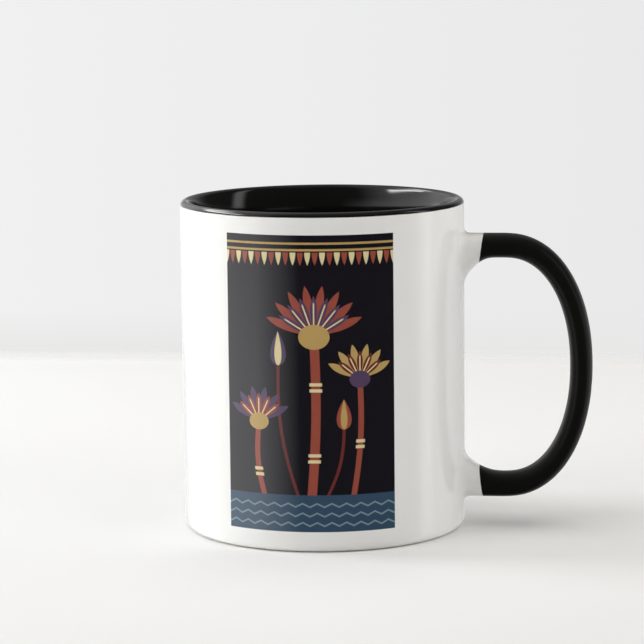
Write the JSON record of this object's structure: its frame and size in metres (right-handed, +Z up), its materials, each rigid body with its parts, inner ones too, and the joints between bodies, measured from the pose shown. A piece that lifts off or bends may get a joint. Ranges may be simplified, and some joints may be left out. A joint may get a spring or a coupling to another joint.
{
  "type": "ceramic mug",
  "caption": "Straight-sided ceramic mug with a D-shaped handle: white glazed outside with a printed ornamental panel, black glazed inside, lip and handle.",
  "frame": {"origin": "on the table plane, in the middle of the mug's overall footprint, handle included; the body's own axis is at x = -18.5 mm", "axes": "+Z up along the body's axis, +X from the body to the handle, -Y the side with the printed panel"},
  "size_m": [0.119, 0.082, 0.0955],
  "materials": {
    "glazed_clay": "white gloss glaze outside, black gloss glaze on the inside, lip and handle, a coloured panel printed under a gloss coat, and a bare foot ring"
  },
  "bodies": {
    "root": {"mug": "glazed_clay"}
  },
  "joints": []
}
